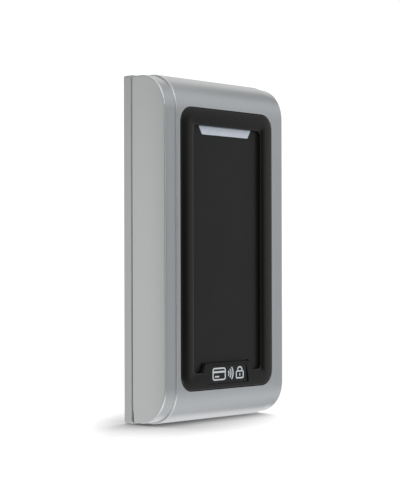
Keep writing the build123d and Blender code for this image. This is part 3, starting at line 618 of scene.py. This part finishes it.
def chip_ends(name, node, columns, rows, size, along_x, cap):
    """Tinned ends on a grid of small components; size is one component's (x, y, z) in millimetres."""
    low, high = (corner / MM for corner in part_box(node))
    meshes = []
    for column in range(columns):
        for row in range(rows):
            x = low.x + (high.x - low.x - size[0]) * (column / (columns - 1)) + size[0] / 2
            z = low.z + (high.z - low.z - size[2]) * (row / (rows - 1)) + size[2] / 2
            for sign in (-1, 1):
                if along_x:
                    spot = (x + sign * (size[0] - cap) / 2, z)
                    half = (cap / 2 + END_PROUD, size[2] / 2 + END_PROUD)
                else:
                    spot = (x, z + sign * (size[2] - cap) / 2)
                    half = (size[0] / 2 + END_PROUD, cap / 2 + END_PROUD)
                ring = rounded_ring(2 * half[0], 2 * half[1], END_RADIUS, 0, 2)
                outline = [(point[0] + spot[0], point[2] + spot[1]) for point in ring]
                meshes.append(prism(outline, low.y + END_LIFT, low.y + size[1] + END_PROUD))
    ends = join(meshes)
    smooth(ends, 40)
    add_piece(name, ends, "reader", "zinc_steel")


TRACE_FRONT = 0.035                  # a track's face stands this far off the board's rear face
FINE_TRACK, SIGNAL_TRACK, TERMINAL_TRACK, RAIL_TRACK = 0.3, 0.35, 0.5, 1.2     # widths


def make_board_traces():
    """Copper tracks under the solder mask on the board's rear face."""
    low, high = (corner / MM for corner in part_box("main_board"))
    y = high.y + TRACE_FRONT
    shape = bmesh.new()
    # Up from the eight terminals, drawing together.
    for index in range(8):
        x = (index - 3.5) * 3.5
        near = x * 0.55
        bend = -34.5 + 0.7 * abs(index - 3.5)
        stroke(shape, [(x, -38.9), (x, bend), (near, bend + 3.2), (near, -23.2)], TERMINAL_TRACK, y)
    # From the controller chip up and over to the right edge.
    for index in range(6):
        z = 10.6 + 0.8 * index
        far = 24 + 0.8 * index
        stroke(shape, [(9.4, z), (11.6, z), (12.8, z + 1.2), (12.8, far), (27, far)], FINE_TRACK, y)
    # Up the middle to the controller chip, with a step to the right.
    for index in range(8):
        x = -4.0 + 0.9 * index
        bend = 1.0 + 0.5 * index
        stroke(shape, [(x, -11.5), (x, bend), (x + 1.6, bend + 1.6), (x + 1.6, 8.4)], SIGNAL_TRACK, y)
    # From the radio chip towards the tuning capacitors.
    for index in range(4):
        z = 31.2 + 1.6 * index
        stroke(shape, [(-11.9, z), (-14.2, z), (-15.4, z + 0.6), (-17.6, z + 0.6)], FINE_TRACK, y)
    # Supply rails along both long edges.
    for side in (-1, 1):
        edge, top = side * (high.x - 1.6), high.z - 3
        rail = [(edge, low.z + 4), (edge, high.z - 6), (edge - side * 3, top), (edge - side * 14, top)]
        stroke(shape, rail, RAIL_TRACK, y)
    add_piece("board_traces", mesh_from(shape, "traces"), "reader", "board_green", MASKED_COPPER)


# ---- Studio ---------------------------------------------------------------------------
TENT_RADIUS = 2.2
TENT_GLOW = (0.50, 0.52, 0.54)
PANEL_SOFTNESS = 12.0                # degrees over which a panel's edge fades
# Softboxes and flags of the tent: (compass angle from +X towards +Y, height angle, half width, half
# height), all in degrees; brightness; tint. Later ones cover earlier ones.
PANELS = (
    ((180, 90, 360, 36), 1.17, (1.0, 1.0, 0.99)),       # roof
    ((180, -90, 360, 44), 1.10, (0.99, 1.0, 1.02)),     # bright floor
    ((45, 40, 30, 18), 0.88, (1.0, 1.0, 0.99)),         # roof's far side
    ((40, -40, 30, 16), 1.08, (0.99, 1.0, 1.02)),       # floor's far side
    ((112, -14, 34, 27), 0.92, (1.0, 1.0, 0.99)),       # wall on the left, behind
    ((120, 30, 40, 16), 0.46, (1.0, 1.0, 0.99)),        # upper part of that wall
    ((160, 0, 12, 34), 0.50, (1.0, 1.0, 1.0)),          # front end of that wall
    ((318, 34, 26, 16), 0.80, (0.97, 1.0, 1.03)),       # softbox on the right, upper part
    ((325, -38, 22, 14), 0.87, (0.97, 1.0, 1.04)),      # and lower part
    ((305, -24, 14, 9), 0.72, (0.97, 1.0, 1.03)),       # its lower left corner
    ((338, 3, 22, 25), 0.68, (0.95, 1.0, 1.03)),        # its middle
    ((358, 38, 15, 8), 0.28, (0.98, 1.0, 1.02)),        # gap under the roof
    ((6, -36, 10, 14), 0.40, (0.97, 1.0, 1.04)),        # gap above the floor
    ((205, 35, 16, 16), 3.5, (1.0, 1.0, 1.0)),          # key light, high on the left
    ((225, -45, 60, 28), 1.1, (1.0, 1.0, 1.0)),         # floor on the camera's side
    ((208, -36, 16, 13), 3.0, (1.0, 1.0, 1.0)),         # low light on the left
    ((188, 0, 25, 15), 0.03, (1.0, 1.0, 1.0)),          # dark room on the left
    ((234, 0, 22, 13), 0.60, (1.0, 1.0, 1.0)),          # camera's side
    ((286, 0, 21, 10), 0.07, (1.0, 1.0, 1.0)),          # black flag before the reader, towards the right
)


def panel_share(panel, compass, height):
    """How much a panel covers one direction, between 0 and 1."""
    centre, lift, half_width, half_height = panel
    off = abs((compass - centre + 180) % 360 - 180) - half_width
    rise = abs(height - lift) - half_height
    across = min(max(0.5 - off / PANEL_SOFTNESS, 0), 1)
    along = min(max(0.5 - rise / PANEL_SOFTNESS, 0), 1)
    return across * along


def tent_glow(compass, height):
    """Colour of the tent in one direction."""
    colour = Vector(TENT_GLOW)
    for panel, level, tint in PANELS:
        share = panel_share(panel, compass, height)
        colour = colour.lerp(Vector(tint) * level, share)
    return colour


def make_tent():
    """Large dome that lights the reader and that the camera doesn't see."""
    mesh = bpy.data.meshes.new("tent")
    shape = bmesh.new()
    bmesh.ops.create_uvsphere(shape, u_segments=90, v_segments=60, radius=TENT_RADIUS)
    layer = shape.verts.layers.float_color.new("glow")
    for vert in shape.verts:
        compass = math.degrees(math.atan2(vert.co.y, vert.co.x)) % 360
        height = math.degrees(math.asin(max(-1, min(1, vert.co.z / TENT_RADIUS))))
        vert[layer] = (*tent_glow(compass, height), 1)
    shape.to_mesh(mesh)
    shape.free()
    tent = bpy.data.objects.new("tent", mesh)
    scene.collection.objects.link(tent)
    tent.visible_camera = False
    glow = bpy.data.materials.new("tent_glow")
    glow.use_nodes = True
    tree = glow.node_tree
    tree.nodes.clear()
    colour = tree.nodes.new("ShaderNodeVertexColor")
    colour.layer_name = "glow"
    lamp = tree.nodes.new("ShaderNodeEmission")
    output = tree.nodes.new("ShaderNodeOutputMaterial")
    tree.links.new(colour.outputs["Color"], lamp.inputs["Color"])
    tree.links.new(lamp.outputs["Emission"], output.inputs["Surface"])
    mesh.materials.append(glow)


FLOOR_HALF, FLOOR_GAP = 1.4, 0.0001
FLOOR_GLOW, BACKGROUND_GLOW = 1.06, 1.1
# A shadow is painted into the floor's glow: occlusion within SHADOW_REACH, sought towards SHADOW_FROM and
# lifted along SHADOW_LINE, darkens it.
SHADOW_REACH = 0.055                 # metres within which something darkens the floor
SHADOW_FROM = (0.55, 0.05, 0.83)     # direction in which the floor looks for open sky
# The painted shadow fades along this line on the floor: places on it in metres, and how much openness is
# added.
SHADOW_LINE = (0.707, -0.707, 0)
SHADOW_FADE = ((-0.060, 0.34), (-0.030, 0.0), (0.0, 0.0), (0.045, 0.20), (0.080, 0.36))
# Openness of a floor point and the brightness painted into its glow, which darkens it into a shadow.
SHADOW_RAMP = ((0.1, 0.10), (0.3, 0.24), (0.45, 0.42), (0.55, 0.52), (0.7, 0.68), (0.85, 0.87), (0.95, 1.0))


def make_floor():
    """White floor under the reader: it shows only a shadow painted into its glow, and the tent's lower half
    lights through.
    """
    level = cad_low.z - FLOOR_GAP
    half = FLOOR_HALF
    mesh = bpy.data.meshes.new("floor")
    corners = [(-half, -half, level), (half, -half, level), (half, half, level), (-half, half, level)]
    mesh.from_pydata(corners, [], [(0, 1, 2, 3)])
    floor = bpy.data.objects.new("floor", mesh)
    scene.collection.objects.link(floor)
    floor.visible_diffuse = False
    floor.visible_glossy = False
    floor.visible_shadow = False
    mesh.materials.append(floor_paint())


def grey_ramp(tree, stops):
    """Colour ramp of greys; stops is a list of (position, grey) in rising order."""
    ramp = tree.nodes.new("ShaderNodeValToRGB")
    elements = ramp.color_ramp.elements
    elements.remove(elements[1])
    elements[0].position = stops[0][0]
    for position, _ in stops[1:]:
        elements.new(position)
    for element, (_, grey) in zip(elements, stops):
        element.color = (grey, grey, grey, 1)
    return ramp


def floor_paint():
    """White glow with a painted shadow: it darkens where something stands within SHADOW_REACH."""
    paint = new_material("floor_paint", Base_Color=(0, 0, 0, 1), Roughness=1.0, Specular_IOR_Level=0.0,
                         Emission_Strength=FLOOR_GLOW)
    tree = paint.node_tree
    near = tree.nodes.new("ShaderNodeAmbientOcclusion")
    near.inputs["Distance"].default_value = SHADOW_REACH
    towards = tree.nodes.new("ShaderNodeCombineXYZ")
    for socket, value in zip(towards.inputs, SHADOW_FROM):
        socket.default_value = value
    tree.links.new(towards.outputs["Vector"], near.inputs["Normal"])
    place = tree.nodes.new("ShaderNodeTexCoord")
    across = tree.nodes.new("ShaderNodeVectorMath")
    across.operation = "DOT_PRODUCT"
    across.inputs[1].default_value = SHADOW_LINE
    tree.links.new(place.outputs["Object"], across.inputs[0])
    first, last = SHADOW_FADE[0][0], SHADOW_FADE[-1][0]
    along = tree.nodes.new("ShaderNodeMapRange")
    along.inputs["From Min"].default_value = first
    along.inputs["From Max"].default_value = last
    tree.links.new(across.outputs["Value"], along.inputs["Value"])
    fade = grey_ramp(tree, [((where - first) / (last - first), lift) for where, lift in SHADOW_FADE])
    tree.links.new(along.outputs["Result"], fade.inputs["Fac"])
    total = tree.nodes.new("ShaderNodeMath")
    tree.links.new(near.outputs["AO"], total.inputs[0])
    tree.links.new(fade.outputs["Color"], total.inputs[1])
    ramp = grey_ramp(tree, SHADOW_RAMP)
    tree.links.new(total.outputs["Value"], ramp.inputs["Fac"])
    tree.links.new(ramp.outputs["Color"], shader_of(paint).inputs["Emission Color"])
    return paint


def make_background():
    """White surroundings that the camera sees."""
    world = bpy.data.worlds.new("world")
    world.use_nodes = True
    background = world.node_tree.nodes["Background"]
    background.inputs["Color"].default_value = (1, 1, 1, 1)
    background.inputs["Strength"].default_value = BACKGROUND_GLOW
    scene.world = world


scene.view_settings.view_transform = "Standard"
make_camera()
make_background()
make_tent()
make_floor()
dress_cad_nodes()
make_insert()
make_insert_tab()
make_pictogram()
make_antenna_turns()
make_spring_coil()
chip_ends("resistor_ends", "resistors", 5, 2, (1.25, 0.5, 2.0), along_x=False, cap=0.4)
chip_ends("capacitor_ends", "tuning_capacitors", 2, 3, (2.0, 0.9, 1.25), along_x=True, cap=0.45)
make_board_traces()
